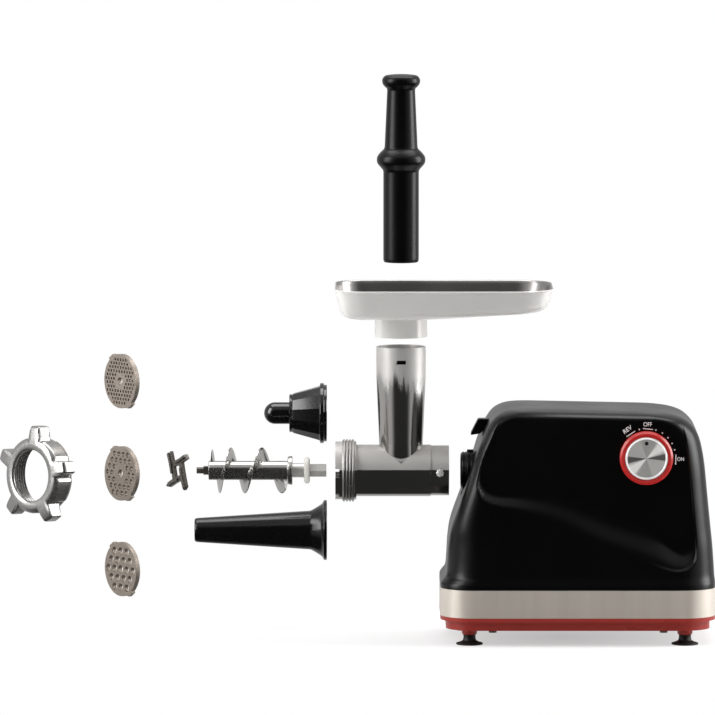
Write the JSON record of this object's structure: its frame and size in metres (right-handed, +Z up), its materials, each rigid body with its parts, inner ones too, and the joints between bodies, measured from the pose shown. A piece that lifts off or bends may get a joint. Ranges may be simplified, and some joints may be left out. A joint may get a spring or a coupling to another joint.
{
  "type": "electric meat grinder",
  "caption": "Electric meat grinder laid out in exploded order: motor unit with dial, tube head with tray and pusher, auger, knife, plates, ring nut, kebbe and sausage sets.",
  "frame": {"origin": "centre of the accessory boss, on its front face, on the drive axis", "axes": "+X runs back along the drive axis, from the ring nut towards the motor unit; +Y runs across, away from the dial side; +Z is up"},
  "size_m": [0.7111, 0.2739, 0.5649],
  "materials": {
    "black_housing": "satin",
    "gloss_panel": "high gloss",
    "band_steel": "brushed lengthwise",
    "red_plastic": "satin",
    "red_ring": "gloss",
    "dial_metal": "spun",
    "black_rubber": "matte",
    "screw_steel": "bright",
    "cast_case": "as cast",
    "bronze": "sintered",
    "lamination": "lacquered",
    "copper": "enamelled",
    "inner_plastic": "matte",
    "carbon": "matte",
    "board": "matte",
    "dial_plastic": "matte",
    "coupling_plastic": "matte",
    "gear_plastic": "matte",
    "gear_steel": "ground",
    "head_metal": "polished",
    "nylon": "satin",
    "black_gloss": "gloss",
    "auger_metal": "polished cast",
    "dark_steel": "dark",
    "plate_steel": "sintered",
    "ring_metal": "cast, polished"
  },
  "bodies": {
    "motor_unit": {"upper_housing": "black_housing", "side_panel": "gloss_panel", "steel_band": "band_steel", "base_tray": "red_plastic", "suction_feet": "black_rubber", "base_screws": "screw_steel", "head_boss": "black_housing", "gearbox_case": "cast_case", "gearbox_cover": "cast_case", "gearbox_screws": "screw_steel", "output_bushes": "bronze", "idler_bushes": "bronze", "rotor_bushes": "bronze", "stator_core": "lamination", "field_windings": "copper", "rear_bracket": "cast_case", "brush_holders": "inner_plastic", "carbon_brushes": "carbon", "rotary_switch": "inner_plastic", "switch_nut": "screw_steel", "control_board": "board", "cord_inlet": "black_rubber", "lever_pin": "screw_steel", "lever_spring": "screw_steel"},
    "lock_lever": {"lock_lever": "black_housing"},
    "dial": {"dial_ring": "red_ring", "dial_face": "dial_metal", "dial_shaft": "dial_plastic"},
    "output_drive": {"drive_coupling": "coupling_plastic", "output_gear": "gear_plastic"},
    "idler": {"idler_gear": "gear_plastic", "idler_pinion": "gear_steel"},
    "rotor": {"rotor_shaft": "gear_steel", "rotor_core": "lamination", "commutator": "copper", "cooling_fan": "inner_plastic"},
    "tube_head": {"tube_head": "head_metal", "head_bush": "nylon", "collar_screws": "screw_steel"},
    "tray": {"hopper_tray": "head_metal"},
    "pusher": {"pusher": "black_gloss", "pusher_plug": "black_gloss"},
    "thrust_washer": {"thrust_washer": "nylon"},
    "auger": {"auger_screw": "auger_metal", "auger_shank": "auger_metal", "auger_pin": "dark_steel"},
    "knife": {"cross_knife": "dark_steel"},
    "medium_plate": {"medium_plate": "plate_steel"},
    "ring_nut": {"ring_nut": "ring_metal"},
    "fine_plate": {"fine_plate": "plate_steel"},
    "coarse_plate": {"coarse_plate": "plate_steel"},
    "kebbe_mandrel": {"kebbe_mandrel": "black_gloss"},
    "kebbe_shaper": {"kebbe_shaper": "black_gloss"},
    "sausage_tube": {"sausage_tube": "black_gloss"}
  },
  "joints": [
    {"name": "lever_press", "type": "hinge", "parent": "motor_unit", "child": "lock_lever", "pos_m": [0.027, 0, 0.043], "axis": [0, -1, 0], "range_deg": [0, 8], "stiffness_Nm_per_rad": 0.08, "springref_deg": -2.86},
    {"name": "dial_turn", "type": "hinge", "parent": "motor_unit", "child": "dial", "pos_m": [0.1835, -0.071, 0.0202], "axis": [0, 1, 0], "range_deg": [-33, 90]},
    {"name": "drive_spin", "type": "hinge", "parent": "motor_unit", "child": "output_drive", "pos_m": [0, 0, 0], "axis": [1, 0, 0], "continuous": true},
    {"name": "idler_spin", "type": "hinge", "parent": "motor_unit", "child": "idler", "pos_m": [0.05, 0.02, -0.04165], "axis": [1, 0, 0], "continuous": true},
    {"name": "rotor_spin", "type": "hinge", "parent": "motor_unit", "child": "rotor", "pos_m": [0.05, 0, -0.06598], "axis": [1, 0, 0], "continuous": true},
    {"name": "head_dock", "type": "slide", "parent": "motor_unit", "child": "tube_head", "axis": [1, 0, 0], "range_m": [0, 0.018]},
    {"name": "ring_fit", "type": "hinge", "parent": "tube_head", "child": "ring_nut", "pos_m": [-0.13, -0.41778, 0.02628], "axis": [0, -0.0628, -0.998], "range_deg": [0, 45]},
    {"name": "auger_dock", "type": "slide", "parent": "output_drive", "child": "auger", "axis": [1, 0, 0], "range_m": [0, 0.1565]},
    {"name": "washer_seat", "type": "slide", "parent": "auger", "child": "thrust_washer", "axis": [-1, 0, 0], "range_m": [0, 0.0115]},
    {"name": "knife_fit", "type": "hinge", "parent": "auger", "child": "knife", "pos_m": [-0.2547, -0.05085, 0.0032], "axis": [0, -0.0628, -0.998], "range_deg": [0, 32]},
    {"name": "plate_fit", "type": "hinge", "parent": "tube_head", "child": "medium_plate", "pos_m": [-0.12355, -0.35323, 0.02222], "axis": [0, -0.0628, -0.998], "range_deg": [0, 37]},
    {"name": "tray_seat", "type": "slide", "parent": "tube_head", "child": "tray", "axis": [0, 0, -1], "range_m": [0, 0.031]},
    {"name": "pusher_press", "type": "slide", "parent": "tray", "child": "pusher", "axis": [0, 0, -1], "range_m": [0, 0.1405]},
    {"name": "fine_plate_move", "type": "slide", "parent": "motor_unit", "child": "fine_plate", "axis": [-0.7986, -0.6018, 0], "range_m": [0, 0.04]},
    {"name": "coarse_plate_move", "type": "slide", "parent": "motor_unit", "child": "coarse_plate", "axis": [-0.7986, -0.6018, 0], "range_m": [0, 0.04]},
    {"name": "kebbe_move", "type": "slide", "parent": "motor_unit", "child": "kebbe_shaper", "axis": [-1, 0, 0], "range_m": [0, 0.06]},
    {"name": "mandrel_out", "type": "slide", "parent": "kebbe_shaper", "child": "kebbe_mandrel", "axis": [1, 0, 0], "range_m": [0, 0.03]},
    {"name": "sausage_tube_move", "type": "slide", "parent": "motor_unit", "child": "sausage_tube", "axis": [-1, 0, 0], "range_m": [0, 0.04]}
  ],
  "couplings": [
    {"joint": "idler_spin", "follows": "drive_spin", "ratio": -5.6},
    {"joint": "rotor_spin", "follows": "drive_spin", "ratio": 33.6},
    {"joint": "head_dock", "follows": "ring_fit", "m_per_rad": 0.022918},
    {"joint": "auger_dock", "follows": "ring_fit", "m_per_rad": 0.19926},
    {"joint": "washer_seat", "follows": "ring_fit", "m_per_rad": 0.014642},
    {"joint": "knife_fit", "follows": "ring_fit", "ratio": 0.71111},
    {"joint": "plate_fit", "follows": "ring_fit", "ratio": 0.82222}
  ]
}
